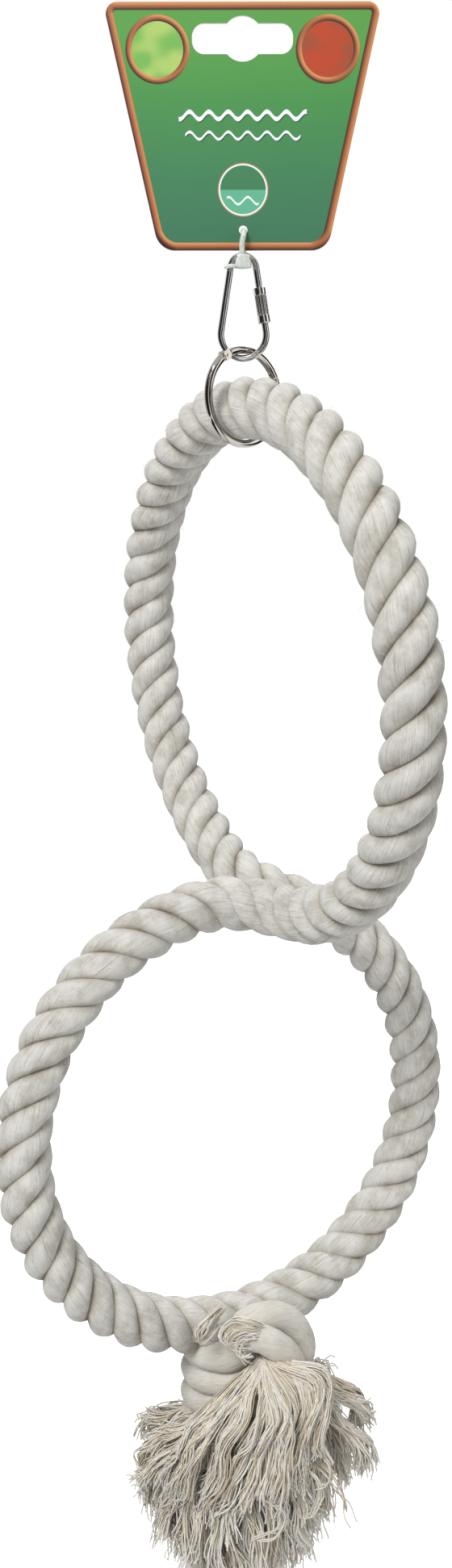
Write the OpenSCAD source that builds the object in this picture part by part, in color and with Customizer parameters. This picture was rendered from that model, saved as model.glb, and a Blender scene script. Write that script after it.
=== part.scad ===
// Hanging rope bird perch. The origin is the point on the card that a peg carries, +Z is up,
// and X runs along the upper rope ring. Everything else hangs plumb below the origin.

/* [Hang card] */
// Height of the card
card_h = 74; // [66:1:84]
// Width along the card's top edge, between its straight sides
card_top_w = 88; // [80:1:100]
// Width along the card's bottom edge, between its straight sides
card_bottom_w = 55; // [48:1:64]
// Thickness of the card
card_t = 0.8; // [0.5:0.1:1.2]
// Card left above the point where the peg carries it
card_head = 4; // [3:0.5:8]
// Corner radius at the top
card_top_corner_r = 3.5; // [2:0.5:6]
// Corner radius at the bottom
card_bottom_corner_r = 6.5; // [4:0.5:9]
// Turn of the card, nylon loop and link away from the upper rope ring
card_turn = 59; // [40:1:80]

/* [Hanging slot] */
// Width of the hanging slot
slot_w = 32; // [28:0.5:38]
// Height of the slot's straight part
slot_h = 9; // [7:0.5:11]
// Corner radius of the slot
slot_end_r = 3.8; // [2:0.1:4.2]
// Diameter of the round centre of the slot
slot_bump_d = 13.4; // [12:0.2:16]
// Diameter of the punched hole that the nylon loop goes through
hole_d = 2.8; // [2.4:0.1:4]
// Punched hole's centre above the card's bottom edge
hole_edge = 6.3; // [5:0.1:8]

/* [Nylon loop] */
// Diameter of the nylon strand
strap_d = 1.8; // [1.4:0.1:2.2]
// Bend radius of the strand where it turns over the card and under the link
loop_bend_r = 3; // [2.6:0.1:4]
// Height of the loop between the centres of its two bends' strands
loop_drop = 9.9; // [8.5:0.1:14]
// Width of the lock head
head_w = 4.6; // [3.6:0.1:5.6]
// Height of the lock head
head_h = 4.2; // [3:0.1:5]
// Depth of the lock head
head_t = 3.2; // [2.4:0.1:4]
// Length of the cut tail beyond the head
tail_l = 4; // [2:0.5:8]
// Diameter of the cut tail
tail_d = 1.4; // [1:0.1:1.8]

/* [Screw link] */
// Diameter of the link's wire
link_wire_d = 2.2; // [1.8:0.1:2.6]
// Radius of the narrow top bow, to the wire's centre
link_top_r = 4.2; // [3.6:0.1:5]
// Radius of the wide bottom bow, to the wire's centre
link_bottom_r = 7.5; // [6.5:0.1:9]
// Height of the link over its wire
link_h = 34.5; // [31:0.5:42]
// Length of the screw sleeve
sleeve_l = 11.3; // [9:0.1:12]
// Outer diameter of the sleeve
sleeve_d = 4; // [3.4:0.1:4.6]
// Travel of the sleeve when it is screwed back
sleeve_travel = 6; // [4:0.5:6]
// Length of each smooth collar on the sleeve
sleeve_collar_l = 2.4; // [1.5:0.1:3]
// Number of flutes on the sleeve
sleeve_flutes = 12; // [8:1:16]
// Width of a flute
flute_d = 0.6; // [0.4:0.05:0.8]
// Length of wire that the sleeve still grips below the mouth
sleeve_grip = 1.2; // [0.8:0.1:2]

/* [Hinged ring] */
// Diameter of the ring's wire
ring_wire_d = 2.7; // [2.2:0.1:3.2]
// Radius of the ring, to the wire's centre
ring_r = 15.2; // [14.6:0.1:18]
// Turn of the ring's plane away from the upper rope ring
ring_turn = 101; // [80:1:110]
// Place of the hinge round the ring, counted from its right-hand side
hinge_at = 122; // [110:1:135]
// Place of the mouth round the ring, counted from its right-hand side
mouth_at = 25; // [10:1:40]
// Diameter of the hinge pin
pin_d = 1.2; // [0.9:0.1:1.4]
// Width of the hinge's knuckle, along its pin
knuckle_h = 3; // [2.6:0.1:3.6]
// Thickness of the flat tongues at the hinge and the mouth
tongue_t = 0.9; // [0.7:0.1:1.2]
// Length of the tongue at the mouth
mouth_tongue_l = 2.2; // [1.5:0.1:3]

/* [Rope] */
// Diameter of the rope
rope_d = 20; // [16:0.5:21]
// Radius of the upper rope ring, to the rope's centre
upper_r = 88.5; // [75:0.5:110]
// Radius of the lower rope ring, to the rope's centre
lower_r = 82; // [70:0.5:100]
// Bend radius of the two ropes where they turn past each other between the rings
cross_bend_r = 24.8; // [24:0.2:32]
// Place of the crossing beside the plumb line, along the upper ring
cross_side = -9.5; // [-14:0.5:0]
// Place of the crossing behind the plumb line
cross_back = 12.5; // [6:0.5:16]
// Place of the crossing past the top of the lower ring
lower_set_back = 14.8; // [8:0.1:20]
// Lean of the lower ring's plane
lower_lean = 4.2; // [0:0.1:7]
// Turn of the lower ring's plane from square to the upper one
lower_turn = -3; // [-6:0.5:6]

/* [Knot] */
// Diameter of one unlaid strand of the rope
strand_d = 11.2; // [9:0.2:11.6]
// Diameter of the bundle of strands inside the knot
core_d = 26; // [22:0.5:30]
// Height of the bundle below the rope
core_h = 42; // [40:0.5:50]
// Turns of the strand that is wound round the bundle
winding_turns = 2.4; // [2:0.1:2.6]
// Gap between one turn of the winding and the next
winding_gap = 0.6; // [0.5:0.1:1]
// Depth of the winding's upper end below the rope's centre
winding_drop = 17.8; // [17:0.1:20]
// Place of the winding's upper end, round the knot
winding_from = 262; // [250:1:266]

/* [Tassel] */
// Length of the tassel below the rope's centre
tassel_l = 120; // [100:1:150]
// Reach of the tassel to its wider side
tassel_reach = 48; // [40:1:60]

/* [Hidden] */

// Rounds, clearances and the overrun of every cut
$fn = 48;
seat_gap = 0.3;
soft_gap = 0.3;
pin_gap = 0.05;
sleeve_gap = 0.15;
fork_gap = 0.15;
bow_share = 0.95;
leg_overlap = 0.5;
cut_over = 2;

// Card heights
card_bottom_z = card_head - card_h;
slot_z = -slot_bump_d / 2;
card_side_tilt = atan((card_top_w - card_bottom_w) / 2 / card_h);
card_side_out = [cos(card_side_tilt), -sin(card_side_tilt)];
card_top = [card_top_w / 2 - card_top_corner_r * tan(45 + card_side_tilt / 2), card_head - card_top_corner_r];
card_foot = [card_bottom_w / 2 - card_bottom_corner_r * tan(45 - card_side_tilt / 2),
    card_bottom_z + card_bottom_corner_r];
hole_z = card_bottom_z + hole_edge;

// Nylon loop heights: the strand lies in the bottom of the punched hole
loop_top_z = hole_z - (hole_d - strap_d) / 2 + seat_gap;
loop_bottom_z = loop_top_z - loop_drop;

// Link: its top bow hangs on the loop's lower bend
link_top_z = loop_bottom_z + (strap_d + link_wire_d) / 2 + seat_gap;
link_upper_z = link_top_z - link_top_r;
link_lower_z = link_top_z - (link_h - link_wire_d) + link_bottom_r;
leg_tilt = asin((link_bottom_r - link_top_r) / (link_upper_z - link_lower_z));
leg_l = (link_upper_z - link_lower_z) * cos(leg_tilt);
leg_foot_share = 0.12;
sleeve_foot = leg_foot_share * leg_l;
mouth_from = sleeve_foot + sleeve_grip;
mouth_l = sleeve_travel - sleeve_grip - seat_gap;

// Ring: its top wire lies on the link's bottom bow
bow_z = link_lower_z - link_bottom_r;
ring_z = bow_z + (link_wire_d + ring_wire_d) / 2 + seat_gap - ring_r;
knuckle_r = ring_wire_d / 2 + seat_gap;
knuckle_turn = 2 * asin((knuckle_r + seat_gap) / (2 * ring_r));
mouth_turn = mouth_tongue_l / ring_r * 180 / PI;
end_gap_turn = soft_gap / ring_r * 180 / PI;
fork_t = tongue_t + 2 * fork_gap;

// Rope: the upper ring hangs in the bottom of the hinged ring
rope_top_z = ring_z - ring_r + ring_wire_d / 2 + soft_gap + rope_d / 2;
upper_lean = asin(cross_back / (2 * upper_r));
cross_z = rope_top_z - 2 * upper_r * cos(upper_lean);
upper_near_at = 270 + asin((cross_bend_r + cross_side) / upper_r);
upper_far_at = 270 - asin((cross_bend_r - cross_side) / upper_r);
lower_drop = sqrt(lower_r * lower_r - lower_set_back * lower_set_back);
lower_near_at = 90 + asin((cross_bend_r - lower_set_back) / lower_r);
lower_far_at = 90 - asin((cross_bend_r + lower_set_back) / lower_r);
bend_handle_share = 0.55;
bend_rings = 9;
rope_sides = 12;

// Knot: one strand is wound round the bundle, and two strands are tucked over the rope
knot = lower_place([0, -lower_set_back, -lower_drop - lower_r]);
winding_r = core_d / 2 + soft_gap + strand_d / 2;
winding_pitch = strand_d + winding_gap;
turn_rings = 24;
winding_sides = 6;
winding = [for (i = [0 : winding_turns * turn_rings])
    let (at = winding_from - 360 * i / turn_rings)
    [winding_r * cos(at), winding_r * sin(at), -winding_drop - winding_pitch * i / turn_rings]];
tuck_rings = 3;
tuck_sides = 10;
// Routes of the two tucked strands from the knot's middle, at the rope's centre height
outer_tuck = [[-7, -21.5, -6], [-1, -19.5, -2.5], [7, -17, -1.5], [14, -12, -4.5], [20, -6, -10.5],
    [21.5, 2, -13.5], [17, 10, -14.5]];
inner_tuck = [[-8, -31, -15], [-3, -30, -10.5], [5, -29.5, -12], [11.5, -29, -18], [14, -27, -25.5]];

// Tassel: depth and reach of each outline point, as shares of the tassel's length and reach
tassel_in_r = winding_r + strand_d / 2 + soft_gap;
tassel_floor = soft_gap + rope_d / 2 + core_h;
front_depth_shares = [0.28, 0.3, 0.5, 0.7, 0.88, 0.97];
front_reach_shares = [0.6, 0.68, 0.78, 0.82, 0.72, 0.4];
right_depth_shares = [0.31, 0.32, 0.42, 0.54, 0.68, 0.82, 0.96];
right_reach_shares = [0.6, 0.7, 0.96, 1.02, 0.96, 0.72, 0.4];
back_depth_shares = [0.31, 0.33, 0.5, 0.7, 0.88, 0.97];
back_reach_shares = [0.6, 0.68, 0.78, 0.82, 0.68, 0.38];
left_depth_shares = [0.36, 0.38, 0.5, 0.66, 0.82, 0.96];
left_reach_shares = [0.6, 0.66, 0.86, 0.96, 0.86, 0.44];

// Finishes
card_green = [0.36, 0.6, 0.33];
nylon_white = [0.93, 0.94, 0.93];
bright_steel = [0.72, 0.72, 0.72];
cotton = [0.86, 0.83, 0.77];
cotton_dark = [0.8, 0.76, 0.68];

function turn_x(p, a) = [p[0], p[1] * cos(a) - p[2] * sin(a), p[1] * sin(a) + p[2] * cos(a)];
function turn_y(p, a) = [p[0] * cos(a) + p[2] * sin(a), p[1], p[2] * cos(a) - p[0] * sin(a)];
function turn_z(p, a) = [p[0] * cos(a) - p[1] * sin(a), p[0] * sin(a) + p[1] * cos(a), p[2]];
function unit(v) = v / norm(v);

// Places on the two rope rings, seen from the part's origin
function upper_point(at) =
    [0, 0, rope_top_z] + turn_x([upper_r * cos(at), 0, upper_r * sin(at) - upper_r], upper_lean);
function upper_along(at) = turn_x([-sin(at), 0, cos(at)], upper_lean);
function lower_way(v) = turn_z(turn_y(v, -lower_lean), lower_turn);
function lower_place(p) = [cross_side, cross_back, cross_z] + lower_way(p);
function lower_point(at) =
    lower_place([0, lower_r * cos(at) - lower_set_back, lower_r * sin(at) - lower_drop]);
function lower_along(at) = lower_way([0, -sin(at), cos(at)]);

// A cubic curve between two ends, each with its way on
function between(a, a_way, b, b_way, handle, t) =
    let (p = a + a_way * handle, q = b - b_way * handle)
    pow(1 - t, 3) * a + 3 * t * pow(1 - t, 2) * p + 3 * t * t * (1 - t) * q + pow(t, 3) * b;

// A smooth curve through a hand-chosen route, with the same number of steps in each stretch
function through(p, i, t) =
    let (a = p[max(i - 1, 0)], b = p[i], c = p[i + 1], d = p[min(i + 2, len(p) - 1)])
    0.5 * (2 * b + (c - a) * t + (2 * a - 5 * b + 4 * c - d) * t * t
        + (3 * b - 3 * c + d - a) * t * t * t);
function smooth(p, steps) =
    [for (i = [0 : len(p) - 2]) for (j = [0 : steps - 1]) through(p, i, j / steps),
        p[len(p) - 1]];

// The least gap that a tube leaves to itself, between rings that lie at least half a turn apart
function self_gap(points, d, half_turn) =
    min([for (i = [0 : len(points) - half_turn - 1]) for (j = [i + half_turn : len(points) - 1])
        norm(points[i] - points[j])]) - d;

// A round tube along points; the two ends may be given the way that they face
module tube(points, d, sides, way_in = [0, 0, 0], way_out = [0, 0, 0]) {
    last = len(points) - 1;
    ways = [for (i = [0 : last])
        i == 0 && norm(way_in) > 0 ? unit(way_in)
        : i == last && norm(way_out) > 0 ? unit(way_out)
        : unit(points[min(i + 1, last)] - points[max(i - 1, 0)])];
    rings = [for (i = [0 : last])
        let (side = unit(cross(ways[i], [0, 0, 1])), up = cross(side, ways[i]))
        for (k = [0 : sides - 1])
            points[i] + d / 2 * (side * cos(360 * k / sides) + up * sin(360 * k / sides))];
    walls = [for (i = [0 : last - 1]) for (k = [0 : sides - 1])
        let (a = i * sides + k, b = i * sides + (k + 1) % sides)
        for (face = [[a, b, b + sides], [a, b + sides, a + sides]]) face];
    start = [for (k = [1 : sides - 2]) [0, k + 1, k]];
    end = [for (k = [1 : sides - 2]) [last * sides, last * sides + k, last * sides + k + 1]];
    polyhedron(points = rings, faces = concat(walls, start, end));
}

// A stretch of a ring of round wire or rope, lying flat
module ring_arc(r, d, from, to) {
    rotate([0, 0, from])
        rotate_extrude(angle = to - from)
            translate([r, 0])
                circle(d = d);
}

// A flat slab, as thick as stated, over one stretch of the hinged ring
module ring_slab(from, to, t) {
    rotate([0, 0, from])
        rotate_extrude(angle = to - from)
            translate([ring_r - ring_wire_d, -t / 2])
                square([2 * ring_wire_d, t]);
}

// All that lies above and below such a slab
module ring_flats(from, to, t) {
    for (z = [t / 2, -t / 2 - ring_wire_d])
        rotate([0, 0, from])
            rotate_extrude(angle = to - from)
                translate([ring_r - ring_wire_d, z])
                    square([2 * ring_wire_d, ring_wire_d]);
}

// The card's straight sides, cut across at its corners
module card_sides() {
    half = [card_top + [0, card_top_corner_r], card_top + card_top_corner_r * card_side_out,
        card_foot + card_bottom_corner_r * card_side_out, card_foot - [0, card_bottom_corner_r]];
    polygon(concat(half, [for (i = [3 : -1 : 0]) [-half[i][0], half[i][1]]]));
}

// The rounds at the card's four corners
module card_corners() {
    for (side = [-1, 1]) {
        translate([side * card_top[0], card_top[1]])
            circle(r = card_top_corner_r);
        translate([side * card_foot[0], card_foot[1]])
            circle(r = card_bottom_corner_r);
    }
}

// The hanging slot: a rounded slot with a round centre
module slot_outline() {
    translate([0, slot_z]) {
        square([slot_w, slot_h - 2 * slot_end_r], center = true);
        square([slot_w - 2 * slot_end_r, slot_h], center = true);
        for (x = [-1, 1])
            for (y = [-1, 1])
                translate([x * (slot_w / 2 - slot_end_r), y * (slot_h / 2 - slot_end_r)])
                    circle(r = slot_end_r);
        circle(d = slot_bump_d);
    }
}

module hang_card() {
    color(card_green)
        rotate([0, 0, card_turn])
            rotate([90, 0, 0])
                difference() {
                    union() {
                        linear_extrude(card_t, center = true)
                            card_sides();
                        linear_extrude(card_t, center = true)
                            card_corners();
                    }
                    linear_extrude(3 * card_t, center = true)
                        slot_outline();
                    translate([0, hole_z])
                        cylinder(d = hole_d, h = 3 * card_t, center = true);
                }
}

// The nylon fastener, through the card's hole and under the link's top bow
module card_loop() {
    leg = loop_drop - 2 * loop_bend_r;
    color(nylon_white)
        rotate([0, 0, card_turn]) {
            translate([0, 0, loop_top_z - loop_bend_r])
                rotate([90, 0, 90])
                    ring_arc(loop_bend_r, strap_d, 0, 180);
            translate([0, 0, loop_bottom_z + loop_bend_r])
                rotate([90, 0, 90])
                    ring_arc(loop_bend_r, strap_d, 180, 360);
            for (side = [-1, 1])
                translate([0, side * loop_bend_r, loop_bottom_z + loop_bend_r])
                    cylinder(d = strap_d, h = leg);
            translate([-head_w / 2, -link_wire_d / 2 - soft_gap - head_t, loop_bottom_z - head_h / 2])
                cube([head_w, head_t, head_h]);
            translate([-head_w / 2, -loop_bend_r, loop_bottom_z - head_h / 2 + tail_d / 2])
                rotate([0, -90, 0])
                    cylinder(d = tail_d, h = tail_l);
        }
}

// A straight leg of the link, from a place above its foot; side is 1 on the sleeve's side
module link_leg(side, from, l, d) {
    translate([side * link_bottom_r * cos(leg_tilt), 0, link_lower_z + link_bottom_r * sin(leg_tilt)])
        rotate([0, -side * leg_tilt, 0])
            translate([0, 0, from])
                cylinder(d = d, h = l);
}

module link_body() {
    color(bright_steel)
        rotate([0, 0, card_turn]) {
            translate([0, 0, link_upper_z])
                rotate([90, 0, 0])
                    ring_arc(link_top_r, bow_share * link_wire_d, leg_tilt, 180 - leg_tilt);
            translate([0, 0, link_lower_z])
                rotate([90, 0, 0])
                    ring_arc(link_bottom_r, bow_share * link_wire_d, 180 - leg_tilt, 360 + leg_tilt);
            link_leg(-1, -leg_overlap, leg_l + 2 * leg_overlap, link_wire_d);
            difference() {
                link_leg(1, -leg_overlap, leg_l + 2 * leg_overlap, link_wire_d);
                link_leg(1, mouth_from, mouth_l, 2 * link_wire_d);
            }
        }
}

module link_sleeve() {
    color(bright_steel)
        rotate([0, 0, card_turn])
            difference() {
                link_leg(1, sleeve_foot, sleeve_l, sleeve_d);
                link_leg(1, sleeve_foot - cut_over, sleeve_l + 2 * cut_over, link_wire_d + 2 * sleeve_gap);
                translate([link_bottom_r * cos(leg_tilt), 0, link_lower_z + link_bottom_r * sin(leg_tilt)])
                    rotate([0, -leg_tilt, 0])
                        for (i = [0 : sleeve_flutes - 1])
                            rotate([0, 0, 360 * i / sleeve_flutes])
                                translate([sleeve_d / 2, 0, sleeve_foot + sleeve_collar_l])
                                    cylinder(d = flute_d, h = sleeve_l - 2 * sleeve_collar_l);
            }
}

// Stands the hinged ring up in its own plane
module ring_place() {
    translate([0, 0, ring_z])
        rotate([0, 0, ring_turn])
            rotate([90, 0, 0])
                children();
}

module at_hinge() {
    rotate([0, 0, hinge_at])
        translate([ring_r, 0, 0])
            children();
}

module ring_gate() {
    color(bright_steel)
        ring_place()
            difference() {
                union() {
                    difference() {
                        ring_arc(ring_r, ring_wire_d, mouth_at + end_gap_turn, hinge_at);
                        ring_flats(hinge_at - knuckle_turn, hinge_at + knuckle_turn, tongue_t);
                    }
                    at_hinge()
                        cylinder(r = knuckle_r, h = tongue_t, center = true);
                }
                at_hinge()
                    cylinder(r = pin_d / 2 + pin_gap, h = knuckle_h, center = true);
                ring_slab(mouth_at - end_gap_turn, mouth_at + mouth_turn + 2 * end_gap_turn, fork_t);
            }
}

module ring_body() {
    color(bright_steel)
        ring_place()
            difference() {
                union() {
                    difference() {
                        ring_arc(ring_r, ring_wire_d, hinge_at, mouth_at + mouth_turn + 360);
                        ring_flats(mouth_at, mouth_at + 2 * mouth_turn, tongue_t);
                    }
                    at_hinge()
                        cylinder(r = knuckle_r, h = knuckle_h, center = true);
                }
                at_hinge()
                    cylinder(r = knuckle_r + seat_gap, h = fork_t, center = true);
                at_hinge()
                    cylinder(d = pin_d, h = 2 * knuckle_h, center = true);
            }
}

module ring_pin() {
    color(bright_steel)
        ring_place()
            at_hinge()
                cylinder(d = pin_d, h = knuckle_h, center = true);
}

module rope_upper() {
    color(cotton)
        translate([0, 0, rope_top_z])
            rotate([upper_lean, 0, 0])
                translate([0, 0, -upper_r])
                    rotate([90, 0, 0])
                        ring_arc(upper_r, rope_d, upper_near_at, upper_far_at + 360);
}

// The two ropes turn past each other, side by side, from one ring's plane into the other's
module rope_bend(upper_at, upper_side, lower_at, lower_side) {
    a = upper_point(upper_at);
    b = lower_point(lower_at);
    a_way = upper_side * upper_along(upper_at);
    b_way = lower_side * lower_along(lower_at);
    handle = bend_handle_share * cross_bend_r;
    tube([for (i = [0 : bend_rings - 1]) between(a, a_way, b, b_way, handle, i / (bend_rings - 1))],
        rope_d, rope_sides, a_way, b_way);
}

module rope_bend_front() {
    color(cotton)
        rope_bend(upper_near_at, -1, lower_near_at, 1);
}

module rope_bend_back() {
    color(cotton)
        rope_bend(upper_far_at, 1, lower_far_at, -1);
}

module lower_arc(from, to) {
    translate([cross_side, cross_back, cross_z])
        rotate([0, 0, lower_turn])
            rotate([0, -lower_lean, 0])
                translate([0, -lower_set_back, -lower_drop])
                    rotate([90, 0, 90])
                        ring_arc(lower_r, rope_d, from, to);
}

module rope_lower_near() {
    color(cotton)
        lower_arc(lower_near_at, 270);
}

module rope_lower_far() {
    color(cotton)
        lower_arc(270, lower_far_at + 360);
}

// Stands a piece of the knot under the meeting of the two rope ends, facing as the card does
module knot_place() {
    translate(knot)
        rotate([0, 0, card_turn])
            children();
}

module knot_core() {
    color(cotton_dark)
        knot_place()
            translate([0, 0, -rope_d / 2 - soft_gap - core_h])
                cylinder(d = core_d, h = core_h);
}

module knot_winding() {
    echo(knot_winding_least_gap_mm = self_gap(winding, strand_d, turn_rings / 2));
    color(cotton)
        knot_place()
            tube(winding, strand_d, winding_sides);
}

module knot_tuck_outer() {
    color(cotton)
        knot_place()
            tube(smooth(outer_tuck, tuck_rings), strand_d, tuck_sides);
}

module knot_tuck_inner() {
    color(cotton)
        knot_place()
            tube(smooth(inner_tuck, tuck_rings), strand_d, tuck_sides);
}

// One quarter of the tassel round the knot's middle; its ceiling lies on the bundle's flat end
module tassel_quarter(from, depths, reaches) {
    outer = [for (i = [0 : len(depths) - 1]) [reaches[i] * tassel_reach, -depths[i] * tassel_l]];
    top = outer[0][1];
    color(cotton_dark)
        knot_place()
            rotate([0, 0, from])
                rotate_extrude(angle = 90)
                    polygon(concat([[tassel_in_r, top]], outer,
                        [[0, -tassel_l], [0, -tassel_floor], [tassel_in_r, -tassel_floor]]));
}

module tassel_front() {
    tassel_quarter(225, front_depth_shares, front_reach_shares);
}

module tassel_right() {
    tassel_quarter(-45, right_depth_shares, right_reach_shares);
}

module tassel_back() {
    tassel_quarter(45, back_depth_shares, back_reach_shares);
}

module tassel_left() {
    tassel_quarter(135, left_depth_shares, left_reach_shares);
}

hang_card();
card_loop();
link_body();
link_sleeve();
ring_gate();
ring_body();
ring_pin();
rope_upper();
rope_bend_front();
rope_bend_back();
rope_lower_near();
rope_lower_far();
knot_core();
knot_winding();
knot_tuck_outer();
knot_tuck_inner();
tassel_front();
tassel_right();
tassel_back();
tassel_left();
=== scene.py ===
import math

import bmesh
import bpy
import numpy as np
from mathutils import Matrix, Vector


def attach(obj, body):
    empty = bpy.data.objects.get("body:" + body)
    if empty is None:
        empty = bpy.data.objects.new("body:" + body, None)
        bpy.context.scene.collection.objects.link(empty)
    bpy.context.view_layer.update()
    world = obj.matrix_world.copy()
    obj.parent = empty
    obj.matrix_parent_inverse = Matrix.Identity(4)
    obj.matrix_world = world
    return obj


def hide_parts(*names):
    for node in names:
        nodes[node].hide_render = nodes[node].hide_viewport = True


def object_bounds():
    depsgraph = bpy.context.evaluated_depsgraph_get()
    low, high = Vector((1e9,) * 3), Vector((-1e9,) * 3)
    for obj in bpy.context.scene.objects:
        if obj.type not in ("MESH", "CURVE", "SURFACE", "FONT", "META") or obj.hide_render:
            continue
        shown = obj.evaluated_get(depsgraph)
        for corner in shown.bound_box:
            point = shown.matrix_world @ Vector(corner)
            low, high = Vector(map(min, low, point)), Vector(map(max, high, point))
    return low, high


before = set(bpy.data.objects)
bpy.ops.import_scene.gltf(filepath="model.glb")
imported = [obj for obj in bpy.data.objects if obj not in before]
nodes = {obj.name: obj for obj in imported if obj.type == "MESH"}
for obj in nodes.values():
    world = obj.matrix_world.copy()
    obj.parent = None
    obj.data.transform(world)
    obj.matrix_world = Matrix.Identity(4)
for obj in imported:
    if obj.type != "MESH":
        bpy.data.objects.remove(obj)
cad_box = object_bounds()
bpy.context.scene.view_settings.view_transform = "Standard"


# The camera stands in front of the lower half and looks a little down. The picture is a crop of a
# wider view, so its middle lies beside the camera's axis.
def stood(name, data):
    """A new object with this data, in the scene."""
    made = bpy.data.objects.new(name, data)
    bpy.context.scene.collection.objects.link(made)
    return made


def make_camera():
    width_px, height_px = 560, 1943
    focal_px, axis_x_px, axis_y_px = 1597.1, 329.25, 932.3
    looks_down, azimuth = 11.73, 59.28
    data = bpy.data.cameras.new("camera")
    data.lens = data.sensor_width * focal_px / height_px
    data.shift_x = (width_px / 2 - axis_x_px) / height_px
    data.shift_y = (axis_y_px - height_px / 2) / height_px
    camera = stood("camera", data)
    camera.location = (0.3868, -0.2213, -0.1449)
    camera.rotation_euler = (math.radians(90 - looks_down), 0, math.radians(azimuth))
    bpy.context.scene.camera = camera


make_camera()


# A pale seamless studio: white behind the object, with a soft key light high on the left, a weaker
# fill on the right, a rim light behind and an even glow. The floor keeps the object's shadow.
class Value:
    """One output in a node tree. Arithmetic with it makes the nodes for it."""

    def __init__(self, work, socket):
        self.work, self.socket = work, socket

    def __add__(self, other):
        return self.work.math("ADD", self, other)

    def __sub__(self, other):
        return self.work.math("SUBTRACT", self, other)

    def __rsub__(self, other):
        return self.work.math("SUBTRACT", other, self)

    def __mul__(self, other):
        return self.work.math("MULTIPLY", self, other)

    def __truediv__(self, other):
        return self.work.math("DIVIDE", self, other)

    def __abs__(self):
        return self.work.math("ABSOLUTE", self)


class Nodes:
    """A node tree under construction. An input is given by its name, or by its number as in i0."""

    def __init__(self, tree):
        self.tree = tree

    def join(self, value, socket):
        """Links the value to the socket, or sets it there."""
        value = value.socket if isinstance(value, Value) else value
        if isinstance(value, bpy.types.NodeSocket):
            self.tree.links.new(value, socket)
        else:
            socket.default_value = value

    def node(self, kind, settings=None, **inputs):
        made = self.tree.nodes.new(kind)
        for key, value in (settings or {}).items():
            setattr(made, key, value)
        for key, value in inputs.items():
            self.join(value, made.inputs[int(key[1:]) if key[1:].isdigit() else key.replace("_", " ")])
        return made

    def get(self, kind, output=0, settings=None, **inputs):
        """Makes a node and gives one of its outputs."""
        return Value(self, self.node(kind, settings, **inputs).outputs[output])

    def math(self, operation, a, b=0.0):
        return self.get("ShaderNodeMath", 0, {"operation": operation}, i0=a, i1=b)

    def vector(self, operation, a, b=(0, 0, 0)):
        output = "Value" if operation in ("LENGTH", "DOT_PRODUCT") else "Vector"
        other = {"Scale" if operation == "SCALE" else "i1": b}
        return self.get("ShaderNodeVectorMath", output, {"operation": operation}, i0=a, **other)

    def turned(self, vector, angle):
        return self.get("ShaderNodeVectorRotate", 0, {"rotation_type": "Z_AXIS"}, Vector=vector, Angle=angle)

    def part(self, vector, axis):
        return self.get("ShaderNodeSeparateXYZ", axis, Vector=vector)

    def combined(self, **parts):
        return self.get("ShaderNodeCombineXYZ", **parts)

    def mapped(self, value, low, high, start=0.0, end=1.0, how="LINEAR"):
        """The value's place between low and high, as a number from start to end."""
        return self.get(
            "ShaderNodeMapRange", 0, {"interpolation_type": how}, i0=value, i1=low, i2=high, i3=start, i4=end
        )

    def noise(self, place, scale, detail=2.0, roughness=0.5, output="Fac"):
        return self.get("ShaderNodeTexNoise", output, Vector=place, Scale=scale, Detail=detail, Roughness=roughness)

    def mixed(self, factor, a, b, how="MIX"):
        made = self.node("ShaderNodeMix", {"data_type": "RGBA", "blend_type": how}, Factor=factor)
        for socket, colour in ((made.inputs["A"], a), (made.inputs["B"], b)):
            self.join((*colour, 1) if isinstance(colour, tuple) else colour, socket)
        return Value(self, made.outputs["Result"])

    def body_place(self):
        return self.get("ShaderNodeTexCoord", "Object")

    def looked_at(self):
        """1 for what the camera sees, also in a mirror or through glass, and 0 for what only lights."""
        path = self.node("ShaderNodeLightPath").outputs
        seen = self.math("MAXIMUM", path["Is Camera Ray"], path["Is Glossy Ray"])
        return self.math("MAXIMUM", seen, path["Is Transmission Ray"])


def bare_material(name):
    material = bpy.data.materials.new(name)
    material.use_nodes = True
    material.node_tree.nodes.clear()
    return material, Nodes(material.node_tree)


def staged_sheet(name, corners, material):
    mesh = bpy.data.meshes.new(name)
    mesh.from_pydata(corners, [], [(0, 1, 2, 3)])
    mesh.materials.append(material)
    stood(name, mesh)


def floor_white():
    """Matt white that the lamps light and the object shades, lifted to plain white where it is looked at."""
    shadow_ends, white_from, lift_near, lift_far = 0.9, 2.0, 0.62, 1.0
    material, tree = bare_material("floor white")
    far = tree.vector("LENGTH", tree.body_place())
    lift = tree.looked_at() * tree.mapped(far, shadow_ends, white_from, lift_near, lift_far)
    matt = tree.get("ShaderNodeBsdfDiffuse", Color=(0.9, 0.9, 0.9, 1))
    both = tree.get("ShaderNodeAddShader", i0=matt, i1=tree.get("ShaderNodeEmission", Strength=lift))
    tree.node("ShaderNodeOutputMaterial", Surface=both)
    return material


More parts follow.
